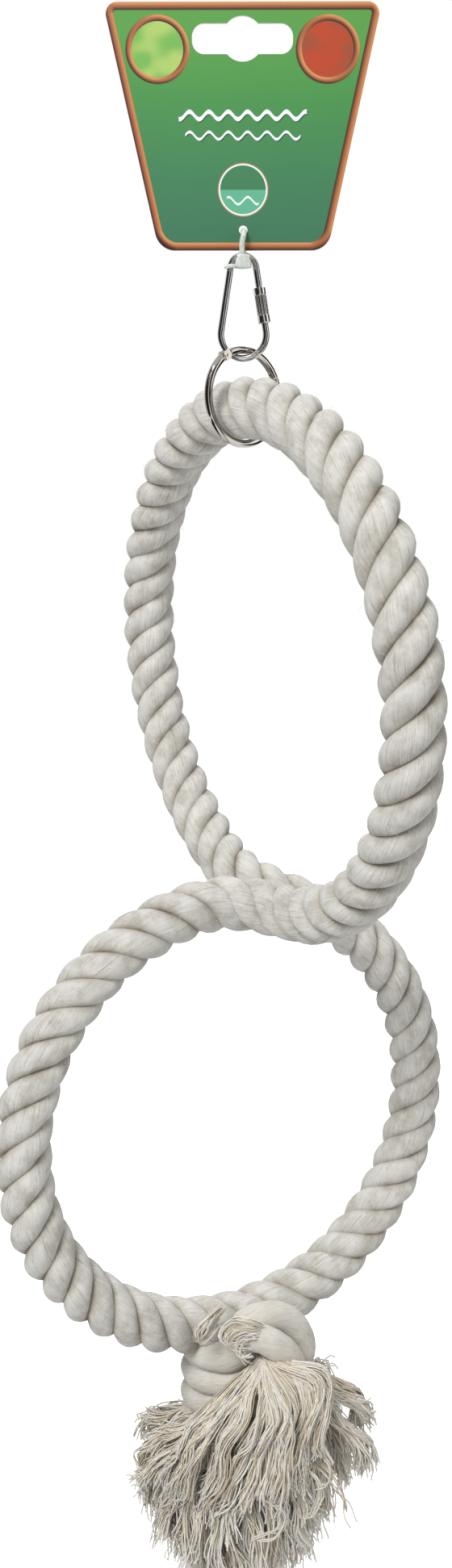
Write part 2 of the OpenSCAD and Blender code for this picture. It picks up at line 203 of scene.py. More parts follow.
def make_studio():
    glow, white = (0.27, 0.275, 0.28), (1, 1, 1)
    floor_below, floor_half = 0.25, 4
    aim = Vector((0, 0, -0.3))
    lamps = (
        # name, place, width, power
        ("key", (0.62, -1.1, 1.1), 0.8, 34),
        ("fill", (1.2, 0.75, 0.2), 1.2, 5),
        ("rim", (-0.9, 0.6, 0.6), 0.9, 8),
    )
    world = bpy.data.worlds.new("studio")
    bpy.context.scene.world = world
    world.use_nodes = True
    tree = Nodes(world.node_tree)
    tree.join(tree.mixed(tree.looked_at(), glow, white), tree.tree.nodes["Background"].inputs["Color"])

    floor_z = cad_box[0].z - floor_below
    corners = [(x * floor_half, y * floor_half, floor_z) for x, y in ((-1, -1), (1, -1), (1, 1), (-1, 1))]
    staged_sheet("floor", corners, floor_white())

    for name, place, width, power in lamps:
        lamp = bpy.data.lights.new(name, "AREA")
        lamp.size, lamp.energy = width, power
        light = stood(name, lamp)
        light.location = place
        light.rotation_mode = "QUATERNION"
        light.rotation_quaternion = (aim - light.location).to_track_quat("-Z", "Y")


make_studio()


# Dark flags round and under the object show only in reflections. They give the plated steel its
# dark and light bands.
def flag_black():
    material, tree = bare_material("flag black")
    dark = tree.get("ShaderNodeEmission", Color=(0.035, 0.032, 0.03, 1))
    mirrored = tree.node("ShaderNodeLightPath").outputs["Is Glossy Ray"]
    shown = tree.get("ShaderNodeMixShader", Fac=mirrored, i1=tree.get("ShaderNodeBsdfTransparent"), i2=dark)
    tree.node("ShaderNodeOutputMaterial", Surface=shown)
    return material


def make_flags():
    black, under = flag_black(), cad_box[0].z - 0.2
    flags = (
        # name, azimuth, width, and how far out and how high the first and the last edge are
        ("flag_left", -84, 1.9, (0.9, -0.8), (0.9, 1.3)),
        ("flag_front", 6, 0.78, (0.9, -1.1), (0.9, 0.6)),
        ("flag_right", 78, 0.95, (1.0, -0.9), (1.0, 0.8)),
        ("flag_back", 165, 0.6, (1.2, -0.9), (1.2, 0.6)),
        ("flag_low", -105, 1.4, (0.22, under), (0.75, under)),
    )
    for name, azimuth, width, first, last in flags:
        at = math.radians(azimuth)
        outward = Vector((math.cos(at), math.sin(at), 0))
        half = Vector((-math.sin(at), math.cos(at), 0)) * width / 2
        edges = ((-1, first), (1, first), (1, last), (-1, last))
        staged_sheet(name, [outward * out + half * side + Vector((0, 0, z)) for side, (out, z) in edges], black)


make_flags()


# The rope is one length: it leaves the knot, goes up the near side of the lower ring, turns past
# itself in front, makes the upper ring, turns past itself behind and comes down the far side.
# These sizes are the ones that the CAD pieces are made from.
upper_r = 0.0885
lower_r = 0.082
cross = Vector((-0.0095, 0.0125, -0.296358))
rope_top = Vector((0, 0, -0.1198))
upper_lean = math.asin(cross.y / (2 * upper_r))
lower_set_back = 0.0148
lower_drop = math.sqrt(lower_r**2 - lower_set_back**2)
lower_turn = Matrix.Rotation(math.radians(-3), 3, "Z") @ Matrix.Rotation(math.radians(-4.2), 3, "Y")
cross_bend_r = 0.0248


def upper_ring(at):
    """A place on the middle line of the upper ring, and the line's direction there."""
    lean, c, s = Matrix.Rotation(upper_lean, 3, "X"), math.cos(at), math.sin(at)
    return rope_top + lean @ Vector((upper_r * c, 0, upper_r * s - upper_r)), lean @ Vector((-s, 0, c))


def lower_ring(at):
    c, s = math.cos(at), math.sin(at)
    flat = Vector((0, lower_r * c - lower_set_back, lower_r * s - lower_drop))
    return cross + lower_turn @ flat, lower_turn @ Vector((0, -s, c))


def bend_between(a, a_way, b, b_way):
    """The rope's easy bend from one ring into the other."""
    steps, handle = 12, 0.55 * cross_bend_r
    p, q = a + a_way * handle, b - b_way * handle
    places = (i / steps for i in range(1, steps))
    return [(1 - t) ** 3 * a + 3 * t * (1 - t) ** 2 * p + 3 * t * t * (1 - t) * q + t**3 * b for t in places]


def rope_route():
    bottom, top, turn = math.radians(270), math.radians(90), math.tau
    upper_near = bottom + math.asin((cross_bend_r + cross.x) / upper_r)
    upper_far = bottom - math.asin((cross_bend_r - cross.x) / upper_r)
    lower_near = top + math.asin((cross_bend_r - lower_set_back) / lower_r)
    lower_far = top - math.asin((cross_bend_r + lower_set_back) / lower_r)
    near, near_way = lower_ring(lower_near)
    far, far_way = lower_ring(lower_far)
    route = [lower_ring(at)[0] for at in np.linspace(bottom, lower_near, 80)]
    route += bend_between(near, -near_way, *upper_ring(upper_near))
    route += [upper_ring(at)[0] for at in np.linspace(upper_near, upper_far + turn, 160)]
    route += bend_between(*upper_ring(upper_far), far, -far_way)
    return route + [lower_ring(at)[0] for at in np.linspace(lower_far, bottom - turn, 80)]


def curve_object(name, routes):
    """One curve object with an open line of points for each route."""
    data = bpy.data.curves.new(name, "CURVE")
    data.dimensions = "3D"
    for route in routes:
        line = data.splines.new("POLY")
        line.points.add(len(route) - 1)
        line.points.foreach_set("co", [c for p in route for c in (*p, 1)])
    return stood(name, data)


class Tree(Nodes):
    """A Geometry Nodes tree under construction, with a named input for each size."""

    def __init__(self, name, **sizes):
        super().__init__(bpy.data.node_groups.new(name, "GeometryNodeTree"))
        self.sizes = {label.replace("_", " "): value for label, value in sizes.items()}
        face = self.tree.interface
        face.new_socket("Geometry", in_out="INPUT", socket_type="NodeSocketGeometry")
        for label, value in self.sizes.items():
            kind = "NodeSocketInt" if isinstance(value, int) else "NodeSocketFloat"
            face.new_socket(label, in_out="INPUT", socket_type=kind)
        face.new_socket("Geometry", in_out="OUTPUT", socket_type="NodeSocketGeometry")
        self.start = self.node("NodeGroupInput")
        self.given = self.start.outputs["Geometry"]
        self.position = self.get("GeometryNodeInputPosition")
        self.normal = self.get("GeometryNodeInputNormal")

    def size(self, label):
        return Value(self, self.start.outputs[label])

    def store(self, geometry, name, value, kind="FLOAT", domain="POINT"):
        settings = {"data_type": kind, "domain": domain}
        return self.get("GeometryNodeStoreNamedAttribute", 0, settings, Geometry=geometry, Name=name, Value=value)

    def read(self, name, kind="FLOAT"):
        return self.get("GeometryNodeInputNamedAttribute", 0, {"data_type": kind}, Name=name)

    def stepped(self):
        return self.get("GeometryNodeResampleCurve", 0, {"mode": "LENGTH"}, Curve=self.given, Length=self.size("Step"))

    def copied(self, curve, amount):
        settings = {"domain": "SPLINE"}
        return self.node("GeometryNodeDuplicateElements", settings, Geometry=curve, Amount=self.size(amount)).outputs

    def moved(self, geometry, offset):
        return self.get("GeometryNodeSetPosition", Geometry=geometry, Offset=offset)

    def ring(self, sides, radius):
        return self.get("GeometryNodeCurvePrimitiveCircle", Resolution=sides, Radius=radius)

    def marked_ring(self, sides, radius):
        """A ring whose points know their direction, for patterns that go round the strand or yarn."""
        outward = self.vector("NORMALIZE", self.position)
        return self.store(self.ring(sides, radius), "around", outward, "FLOAT_VECTOR")

    def tube(self, curve, ring, **more):
        return self.get("GeometryNodeCurveToMesh", Curve=curve, Profile_Curve=ring, Fill_Caps=True, **more)

    def swollen(self, body, lump_scale):
        """Cotton is never quite even: its surface rises and sinks by the size Swell."""
        rise = (self.noise(self.position, lump_scale) - 0.5) * (self.size("Swell") * 2.0)
        return self.moved(body, self.vector("SCALE", self.normal, rise))

    def smoothed(self, body):
        return self.get("GeometryNodeSetShadeSmooth", Geometry=body)

    def made_mesh(self, source, geometry, material, name):
        """Finishes the tree, runs it on the source and gives the result as a plain mesh object."""
        real = self.get("GeometryNodeRealizeInstances", Geometry=geometry)
        painted = self.get("GeometryNodeSetMaterial", Geometry=real, Material=material)
        self.join(painted, self.node("NodeGroupOutput").inputs[0])
        modifier = source.modifiers.new(self.tree.name, "NODES")
        modifier.node_group = self.tree
        for item in self.tree.interface.items_tree:
            if item.name in self.sizes:
                modifier[item.identifier] = self.sizes[item.name]
        ready = source.evaluated_get(bpy.context.evaluated_depsgraph_get())
        mesh = bpy.data.meshes.new_from_object(ready)
        source.modifiers.remove(modifier)
        bpy.data.objects.remove(source)
        mesh.name = name
        return stood(name, mesh)


class Paint(Nodes):
    """A piece's material under construction, with the finish of its shader."""

    def __init__(self, name, **finish):
        self.material = bpy.data.materials.new(name)
        self.material.use_nodes = True
        super().__init__(self.material.node_tree)
        self.shader = self.tree.nodes["Principled BSDF"]
        for key, value in finish.items():
            self.shader.inputs[key.replace("_", " ")].default_value = value

    def attribute(self, name, output="Fac"):
        return self.get("ShaderNodeAttribute", output, {"attribute_name": name})

    def ramp(self, value, *stops):
        made = self.node("ShaderNodeValToRGB", Fac=value)
        ends = made.color_ramp.elements
        for number, (place, colour) in ((0, stops[0]), (1, stops[-1])):
            ends[number].position, ends[number].color = place, (*colour, 1)
        for place, colour in stops[1:-1]:
            ends.new(place).color = (*colour, 1)
        return Value(self, made.outputs["Color"])

    def drawn_fibres(self, twist, shift, scale, roughness):
        """Fine lines that run along a strand and slowly round it."""
        round_it = self.turned(self.attribute("around", "Vector"), self.attribute("along") * twist)
        return self.noise(self.vector("ADD", round_it, self.combined(Z=shift)), scale, 5.0, roughness)

    def colour(self, value):
        self.join(value, self.shader.inputs["Base Color"])

    def bump(self, height, depth, strength):
        made = self.get("ShaderNodeBump", Height=height, Distance=depth, Strength=strength)
        self.join(made, self.shader.inputs["Normal"])


def laid_cotton():
    """Soft cotton laid in strands: fine fibres run along the rope, across each strand, and painted shade darkens the
    creases between strands.
    """
    paint = Paint("laid cotton", Roughness=0.92, Specular_IOR_Level=0.15, Sheen_Weight=0.2)
    shift = paint.attribute("along") * 9.0 + paint.attribute("strand") * 3.7
    fibres = paint.drawn_fibres(twist=-20.0, shift=shift, scale=21.0, roughness=0.75)
    patches = paint.noise(paint.body_place(), 120.0, 6.0, 0.68)
    base = paint.ramp(fibres, (0.30, (0.40, 0.375, 0.335)), (0.43, (0.68, 0.66, 0.615)), (0.66, (0.81, 0.80, 0.765)))
    worn = paint.ramp(patches, (0.36, (0.70, 0.68, 0.64)), (0.5, (0.90, 0.89, 0.87)), (0.62, (1, 1, 1)))
    # Painted shade: the strands darken toward the creases between them, by how far the surface lies from the rope's
    # middle.
    painted_crease_shade = paint.ramp(
        paint.attribute("crest"),
        (0.70, (0.17, 0.125, 0.08)), (0.775, (0.50, 0.44, 0.36)), (0.86, (0.86, 0.84, 0.80)), (0.95, (1, 1, 1)),
    )
    paint.colour(paint.mixed(1.0, paint.mixed(0.9, base, worn, "MULTIPLY"), painted_crease_shade, "MULTIPLY"))
    paint.bump(fibres, 0.0007, 0.9)
    return paint.material


def laid_rope(name, route, strands, lay, strand_d, strand_in, material):
    """Strands twisted round each other along the route."""
    source = curve_object(name, [route])
    tree = Tree(
        "laid rope", Strands=strands, Lay=lay, Strand_radius=strand_d / 2, Strand_set_in=strand_in,
        Rope_radius=strand_d / 2 + strand_in, Step=0.0013, Swell=0.0005,
    )
    path = tree.get("GeometryNodeSetCurveNormal", 0, {"mode": "MINIMUM_TWIST"}, Curve=tree.stepped())
    length = tree.get("GeometryNodeSplineParameter", "Length")
    across = tree.vector("CROSS_PRODUCT", tree.get("GeometryNodeInputTangent"), tree.normal)
    for label, value in (("middle", tree.position), ("up", tree.normal), ("across", across)):
        path = tree.store(path, label, value, "FLOAT_VECTOR")
    path = tree.store(path, "along", length)
    middle, up, across = (tree.read(label, "FLOAT_VECTOR") for label in ("middle", "up", "across"))

    copies = tree.copied(path, "Strands")
    number = Value(tree, copies["Duplicate Index"])
    angle = (length / tree.size("Lay") + number / tree.size("Strands")) * math.tau
    reach = tree.size("Strand set in")
    out = tree.vector("SCALE", up, tree.math("COSINE", angle) * reach)
    side = tree.vector("SCALE", across, tree.math("SINE", angle) * reach)
    laid = tree.moved(copies["Geometry"], tree.vector("ADD", out, side))
    laid = tree.store(laid, "strand", number)
    body = tree.swollen(tree.tube(laid, tree.ring(22, tree.size("Strand radius"))), 120.0)

    away = tree.vector("SUBTRACT", tree.position, middle)
    # How far out from the rope's middle the surface lies, which the cotton's painted crease shade reads.
    body = tree.store(body, "crest", tree.vector("LENGTH", away) / tree.size("Rope radius"))
    flat = tree.combined(X=tree.vector("DOT_PRODUCT", away, up), Y=tree.vector("DOT_PRODUCT", away, across))
    body = tree.store(body, "around", tree.vector("NORMALIZE", flat), "FLOAT_VECTOR")
    return tree.made_mesh(source, tree.smoothed(body), material, name)


def make_rope():
    route = rope_route()
    rope = laid_rope(
        "rope_laid", route, strands=3, lay=0.0355, strand_d=0.0100, strand_in=0.0051, material=laid_cotton()
    )
    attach(rope, "rope")
    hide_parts("rope_upper", "rope_bend_front", "rope_bend_back", "rope_lower_near", "rope_lower_far")
    return rope


def fibre_cotton():
    paint = Paint("cotton fibre", Roughness=0.9, Specular_IOR_Level=0.15, Sheen_Weight=0.2)
    cloud = paint.noise(paint.body_place(), 300.0)
    paint.colour(paint.ramp(cloud, (0.3, (0.62, 0.58, 0.51)), (0.7, (0.82, 0.80, 0.75))))
    return paint.material


def make_loose_fibres(rope):
    """Short single fibres that stand up from the cotton and curl over."""
    name = "rope_loose_fibres"
    source = stood(name, rope.data.copy())
    tree = Tree(
        "loose fibres", Density=22000.0, Clear_of_ring=0.036, Shortest=0.0008, Longest=0.0028, Seed=3, Thickness=0.014
    )
    seed = tree.size("Seed")
    from_ring = tree.vector("LENGTH", tree.vector("SUBTRACT", tree.position, tuple(rope_top)))
    clear = tree.math("GREATER_THAN", from_ring, tree.size("Clear of ring"))
    spread = tree.node(
        "GeometryNodeDistributePointsOnFaces", Mesh=tree.given, Selection=clear, Density=tree.size("Density"), Seed=seed
    ).outputs
    bow = tree.get(
        "GeometryNodeCurveQuadraticBezier", Resolution=4, Start=(0, 0, 0), Middle=(0.05, 0.1, 0.75), End=(0.7, 0, 0.8)
    )
    fibre = tree.tube(bow, tree.ring(3, tree.size("Thickness")))
    settings = {"data_type": "FLOAT"}
    spin = tree.get("FunctionNodeRandomValue", 1, settings, i3=math.tau, Seed=seed + 1)
    length = tree.get(
        "FunctionNodeRandomValue", 1, settings, i2=tree.size("Shortest"), i3=tree.size("Longest"), Seed=seed + 2
    )
    spun = tree.get("FunctionNodeEulerToRotation", Euler=tree.combined(Z=spin))
    stance = tree.get(
        "FunctionNodeRotateRotation", 0, {"rotation_space": "LOCAL"}, Rotation=spread["Rotation"], Rotate_By=spun
    )
    placed = tree.get(
        "GeometryNodeInstanceOnPoints", Points=spread["Points"], Instance=fibre, Rotation=stance, Scale=length
    )
    fibres = tree.made_mesh(source, placed, fibre_cotton(), name)
    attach(fibres, "rope")


make_loose_fibres(make_rope())


# The knot is tied in the rope's own strands. One is whipped round the bundle of their ends in
# sloping turns, squeezed up under the rope, and two are tucked over its front.
# The knot and the card face the same way, and the rope enters the knot at this place.
facing = math.radians(59)
knot = Vector((0.001621556, -0.002903165, -0.458574504))


def level_points(places_mm):
    """Millimetres across, behind and above, as the card faces, as places in the model's frame."""
    return [Matrix.Rotation(facing, 3, "Z") @ (Vector(p) * 0.001) for p in places_mm]


def knot_points(places_mm):
    """The same from where the rope enters the knot."""
    return [knot + place for place in level_points(places_mm)]


def smooth_line(places, steps):
    """A smooth line through the places."""
    through = [places[0] * 2 - places[1], *places, places[-1] * 2 - places[-2]]
    line = []
    for a, b, c, d in zip(through, through[1:], through[2:], through[3:]):
        for i in range(steps):
            t = i / steps
            line.append((b * 2 + (c - a) * t + (a * 2 - b * 5 + c * 4 - d) * t**2 + (b * 3 - a - c * 3 + d) * t**3) / 2)
    return [*line, places[-1]]


def combed_cotton():
    """Soft cotton whose fibres run along the strand with a slow twist."""
    paint = Paint("combed cotton", Roughness=0.92, Specular_IOR_Level=0.15, Sheen_Weight=0.2)
    fibres = paint.drawn_fibres(twist=55.0, shift=paint.attribute("along") * 14.0, scale=13.0, roughness=0.72)
    patches = paint.noise(paint.body_place(), 90.0)
    base = paint.ramp(fibres, (0.30, (0.52, 0.48, 0.41)), (0.45, (0.74, 0.71, 0.65)), (0.66, (0.82, 0.80, 0.75)))
    tint = paint.ramp(patches, (0.35, (0.90, 0.86, 0.79)), (0.62, (1, 1, 1)))
    paint.colour(paint.mixed(0.7, base, tint, "MULTIPLY"))
    paint.bump(fibres, 0.0007, 0.9)
    return paint.material


strand_cotton = combed_cotton()


def single_strand(name, route, node, strand_d, taper_start, taper_end):
    """One strand by itself, drawn thinner over a length at each end."""
    source = curve_object(name, [route])
    tree = Tree(
        "single strand", Strand_radius=strand_d / 2, Step=0.0011, Taper_start=taper_start, Taper_end=taper_end,
        Swell=0.0007, Thinnest=0.35,
    )
    length = tree.get("GeometryNodeSplineParameter", "Length")
    left = tree.get("GeometryNodeSplineLength", "Length") - length
    thinnest = tree.size("Thinnest")
    rise = tree.mapped(length, 0.0, tree.size("Taper start"), thinnest, 1.0, "SMOOTHSTEP")
    fall = tree.mapped(left, 0.0, tree.size("Taper end"), thinnest, 1.0, "SMOOTHSTEP")
    path = tree.store(tree.stepped(), "along", length)
    body = tree.tube(path, tree.marked_ring(28, tree.size("Strand radius")), Scale=rise * fall)
    strand = tree.made_mesh(source, tree.smoothed(tree.swollen(body, 130.0)), strand_cotton, name)
    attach(strand, "rope")
    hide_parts(node)


def make_winding():
    turns, steps, first_at, highest_at = 3.4, 30, 292, math.radians(300)
    first_z, pitch, slope, turn_r, uneven = -6.5, 10.2, 4.5, 18.6, 0.5
    route = []
    for i in range(int(turns * steps) + 1):
        at = math.radians(first_at - 360 * i / steps)
        height = first_z - pitch * i / steps + slope * math.cos(at - highest_at)
        reach = turn_r + uneven * math.sin(3 * at)
        route.append((reach * math.cos(at), reach * math.sin(at), height))
    single_strand("knot_whipping", knot_points(route), "knot_winding", 0.0112, taper_start=0.012, taper_end=0.008)


def make_tucks():
    behind = [
        (-3, -21, 7), (3.2, -20, 11.6), (10.8, -16.5, 11.5), (17.6, -13, 6.8), (21.8, -11, -1), (22, -11, -8.5),
        (17, -13, -16),
    ]
    front = [
        (-6, -23, 5.5), (0.6, -25.5, 9.4), (7, -26.5, 9.4), (13.6, -26, 5.4), (18, -24, -1), (18.5, -22, -8),
        (15, -19, -16),
    ]
    for name, places, node, strand_d, taper_start in (
        ("knot_tuck_behind", behind, "knot_tuck_outer", 0.0108, 0.006),
        ("knot_tuck_front", front, "knot_tuck_inner", 0.0104, 0.009),
    ):
        single_strand(name, smooth_line(knot_points(places), 10), node, strand_d, taper_start, taper_end=0.006)


def make_bundle():
    """The six ends that hang down inside the turns."""
    top_z, bundle_l = -6, 47
    down = knot_points([(0, 0, top_z - i) for i in range(bundle_l + 1)])
    bundle = laid_rope(
        "knot_bundle", down, strands=6, lay=0.16, strand_d=0.0088, strand_in=0.0082, material=strand_cotton
    )
    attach(bundle, "rope")
    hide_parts("knot_core")


make_winding()
make_tucks()
make_bundle()


# The tassel is the six ends combed out into single yarns, still crimped from the rope's lay. They
# leave the knot in locks, fan out and droop, and were cut off at about the same length.
def yarn_cotton():
    paint = Paint("yarn", Roughness=0.9, Specular_IOR_Level=0.15, Sheen_Weight=0.15)
    twisted = paint.turned(paint.attribute("around", "Vector"), paint.attribute("along") * 2600.0)
    ply = paint.mapped(paint.part(twisted, "X"), -1.0, 1.0)
    shade = paint.ramp(ply, (0.0, (0.86, 0.84, 0.80)), (0.6, (1, 1, 1)))
    base = paint.ramp(
        paint.attribute("tone"), (0.0, (0.54, 0.43, 0.295)), (0.28, (0.74, 0.68, 0.565)), (1.0, (0.82, 0.80, 0.76))
    )
    paint.colour(paint.mixed(0.8, base, shade, "MULTIPLY"))
    return paint.material


yarn = yarn_cotton()


def combed_yarns(name, locks, yarns, spread_start, spread_end, wave, yarn_d, seed):
    """Each lock is a line that a number of yarns follow, spreading apart toward their cut ends."""
    opening, bend_apart, bend_scale = 1.6, 0.005, 50.0
    source = curve_object(name, locks)
    tree = Tree(
        "combed yarns", Yarns=yarns, Spread_start=spread_start, Spread_end=spread_end, Wave=wave, Wave_length=0.024,
        Wander=0.016, Yarn_radius=yarn_d / 2, Shortest=0.72, Points=22,
    )
    index = tree.get("GeometryNodeInputIndex")

    def chance(number, highest=1.0):
        return tree.get("FunctionNodeRandomValue", 1, {"data_type": "FLOAT"}, i3=highest, ID=index, Seed=seed + number)

    def aside(number):
        low, high = (-1, -1, -1), (1, 1, 1)
        settings = {"data_type": "FLOAT_VECTOR"}
        return tree.get("FunctionNodeRandomValue", 0, settings, i0=low, i1=high, ID=index, Seed=seed + number)

    path = tree.get("GeometryNodeResampleCurve", 0, {"mode": "COUNT"}, Curve=tree.given, Count=tree.size("Points"))
    path = tree.store(path, "phase", chance(1, math.tau), "FLOAT", "CURVE")
    path = tree.copied(path, "Yarns")["Geometry"]
    path = tree.store(path, "aside", aside(2), "FLOAT_VECTOR", "CURVE")
    path = tree.store(path, "aside_late", aside(3), "FLOAT_VECTOR", "CURVE")
    path = tree.store(path, "tone", chance(4), "FLOAT", "CURVE")
    early, late = (tree.read(label, "FLOAT_VECTOR") for label in ("aside", "aside_late"))
    tone = tree.read("tone")

    share = tree.get("GeometryNodeSplineParameter", "Factor")
    length = tree.get("GeometryNodeSplineParameter", "Length")
    opened = tree.math("POWER", share, opening)
    crimp = tree.math("SINE", length / tree.size("Wave length") * math.tau + tree.read("phase")) * tree.size("Wave")
    wander_at = tree.vector("ADD", tree.position, tree.vector("SCALE", early, bend_apart))
    wander = tree.vector("SUBTRACT", tree.noise(wander_at, bend_scale, 0.9, output="Color"), (0.5, 0.5, 0.5))
    offset = tree.vector("SCALE", early, tree.size("Spread start") * (1.0 - opened))
    for more in (
        tree.vector("SCALE", late, tree.size("Spread end") * opened),
        tree.vector("SCALE", tree.normal, crimp),
        tree.vector("SCALE", wander, (share + 0.1) * tree.size("Wander")),
    ):
        offset = tree.vector("ADD", offset, more)
    path = tree.moved(path, offset)
    kept = tree.mapped(tree.math("POWER", tone, 0.5), 0.0, 1.0, tree.size("Shortest"), 1.0)
    path = tree.get("GeometryNodeTrimCurve", 0, {"mode": "FACTOR"}, Curve=path, i2=0.0, i3=kept)
    path = tree.store(path, "along", length)
    body = tree.smoothed(tree.tube(path, tree.marked_ring(3, tree.size("Yarn radius"))))
    made = tree.made_mesh(source, body, yarn, name)
    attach(made, "rope")
    return made


tassel_rings = [
    # height of the cut ends, reach, number of locks
    (-41, 39, 21), (-51, 43, 27), (-63, 44, 30), (-76, 42.5, 31), (-87, 38, 28), (-98, 32, 25), (-107, 25, 19),
    (-113, 16, 12), (-117, 7, 5),
]
front_locks = [
    [(8, -27, 0), (4, -33, -2.8), (-3.3, -38, -8.8), (-10.7, -40, -19.4), (-17.6, -39, -35.8), (-23.1, -33, -56.9)],
    [(7, -27, -0.3), (1.3, -32, -3.5), (-7.3, -37, -8), (-14.6, -39, -16), (-21.7, -37, -30.8), (-25, -33, -48)],
    [(8.4, -28, 0.3), (4, -35, -3.5), (-1.3, -40, -13.3), (-6.7, -41, -27.1), (-11.7, -37, -46.2), (-14, -34, -62)],
    [(8.7, -28, -0.4), (9.4, -36, -4.2), (8.1, -40, -11.7), (4, -41, -20.9), (-1.4, -39, -36.5), (-7.1, -35, -53.5)],
    [(9.6, -28, -0.2), (12, -36, -3), (13, -41, -11), (10, -41, -24), (5, -39, -40), (2, -35, -58)],
    [(10.4, -28, -0.4), (14.1, -36, -2.7), (17, -40, -10.2), (16, -41, -22.4), (13.1, -38, -39), (11.5, -34, -55.2)],
    [
        (10.1, -27, 0), (17.5, -31, 1.1), (24.8, -35, -1.2), (27.5, -37, -8.8), (24.9, -38, -18.8), (19.6, -36, -32.9),
        (16.3, -32, -52.2),
    ],
    [
        (10.4, -27, -0.2), (16, -31, 0.4), (22, -35, -2.6), (23.5, -38, -9.4), (21.5, -39, -20), (17.6, -37, -34),
        (18, -33, -50),
    ],
    [
        (10.8, -27, -0.4), (19.6, -30, 1.1), (27.6, -33, -2.8), (30.3, -35, -10.4), (28.3, -36, -20.4),
        (25.8, -33, -33.9),
    ],
    [(9.2, -27, 0), (11.8, -32, -2.8), (14.6, -36, -8.5), (14.8, -38, -18), (12, -38, -32), (9, -35, -50)],
    [
        (10.2, -27, 0), (14.8, -31, -0.8), (18.8, -35, -5), (20.5, -37, -12.5), (18.6, -38, -24), (15.5, -36, -40),
        (14, -32, -56),
    ],
    [(8.8, -27, -0.3), (6.2, -32, -4.4), (1.5, -35, -12.5), (-4.5, -36, -22), (-9.5, -35, -34), (-13, -32, -50)],
    [(7.4, -27, -1.2), (2.6, -30, -5.5), (-3.6, -32.5, -12), (-10, -33.5, -21), (-16, -33, -33), (-20, -30, -48)],
]
right_locks = [
    [(20, -20, -8), (27, -22, -10.5), (33, -23, -14.6), (41, -20, -22.7), (47, -15, -33.6)],
    [(22, -18, -10), (29, -19, -13), (36, -18, -18), (43, -15, -28), (46, -12, -42)],
    [(24, -22, -14), (30, -25, -19), (36, -26, -26), (41, -24, -38), (44, -18, -52)],
]
left_locks = [
    [(-14.9, -24, -23.9), (-20.9, -27, -25.5), (-27.9, -26, -29.8), (-34.8, -22, -37.7)],
    [(-16.7, -28, -28.5), (-24.3, -30, -35.5), (-32.5, -26, -47.8), (-39.5, -18, -61.4)],
    [(-15.2, -32, -33), (-22.8, -33, -45.6), (-31.1, -28, -61.4), (-34.6, -22, -74.8)],
]


def drooping_locks():
    """Locks all round: they leave the bundle, arch outwards and droop to the tassel's outline."""
    uneven, ring_turn, most_drift = 0.35, 0.37, 0.10
    bundle_r, bundle_z, run_down_below = 12, -35, -44
    # The low locks reach less far on the right, and the upper ones hang lower on the left.
    narrow_from, narrow_over, narrower = -70, 20, 0.18
    left_turn, left_from, left_over, left_lower = 0.25, -41, 40, 9
    # A lock leaves the bundle under the whipped turns, and lower on the left, where they show.
    leave_z, leave_spread, deep_from, deep_lower = -31, 9, -60, 0.12
    shown_z, shown_rise, least_fall = -43, 0.8, 4
    chance = np.random.default_rng(11)
    locks = []
    for drop, reach, count in tassel_rings:
        for i in range(count):
            at = math.tau * (i + chance.uniform(-uneven, uneven)) / count + drop * ring_turn
            low_right = max(0, math.cos(at)) * min(1, max(0, (narrow_from - drop) / narrow_over))
            r = reach * chance.uniform(0.86, 1.0) * (1 - narrower * low_right)
            leftward = max(0, -math.cos(at + left_turn))
            z = drop + chance.uniform(-4, 3) - left_lower * leftward * max(0, 1 + (drop - left_from) / left_over)
            inner = chance.uniform(5, 13)
            leave = leave_z - leave_spread * chance.random() - deep_lower * max(0, deep_from - z)
            leave = max(z + 6, leave) - 4 * leftward
            leave += leftward * min(0, shown_z - shown_rise * r * math.sin(at) - leave)
            z = min(z, leave - least_fall)
            fall = leave - z
            if leave < run_down_below:
                places = [(bundle_r, bundle_z), (bundle_r + 1.5, bundle_z + 0.7 * (leave - bundle_z))]
            else:
                places = [(inner, leave + 2)]
            places += [(0.55 * r + 4, leave - 0.1 * fall), (0.86 * r + 2, leave - 0.45 * fall), (r, z)]
            drift = chance.uniform(-most_drift, most_drift)
            turned = [at + drift * i for i in range(len(places))]
            locks.append((at, [(p * math.cos(a), p * math.sin(a), h) for a, (p, h) in zip(turned, places)]))
    return locks


def split_locks(locks, seed):
    """Each big lock parts into three smaller ones on its way down."""
    parts, apart_first, apart_more = 3, 0.8, 3.2
    chance = np.random.default_rng(seed)
    split = []
    for lock in locks:
        for _ in range(parts):
            aside = chance.uniform(-1, 1, 3)
            away = [aside * (apart_first + apart_more * i / len(lock)) for i in range(len(lock))]
            split.append([tuple(np.array(p) + a) for p, a in zip(lock, away)])
    return split


def yarn_routes(locks, steps):
    return [smooth_line(knot_points(lock), steps) for lock in locks]


def make_tassel():
    around = drooping_locks()
    quarters = (("front", 225, front_locks), ("right", 315, right_locks), ("back", 45, []), ("left", 135, left_locks))
    for number, (side, starts, own) in enumerate(quarters):
        mine = [places for at, places in around if (math.degrees(at) - starts) % 360 < 90]
        made = combed_yarns(
            f"tassel_{side}_yarns", yarn_routes(mine, 5), yarns=24, spread_start=0.0020, spread_end=0.0028,
            wave=0.0011, yarn_d=0.00066, seed=100 + 10 * number,
        )
        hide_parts(f"tassel_{side}")
        if own:
            combed_yarns(
                f"tassel_{side}_locks", yarn_routes(split_locks(own, 40 + number), 5), yarns=30, spread_start=0.0014,
                spread_end=0.0023, wave=0.0010, yarn_d=0.00060, seed=150 + 10 * number,
            )


make_tassel()


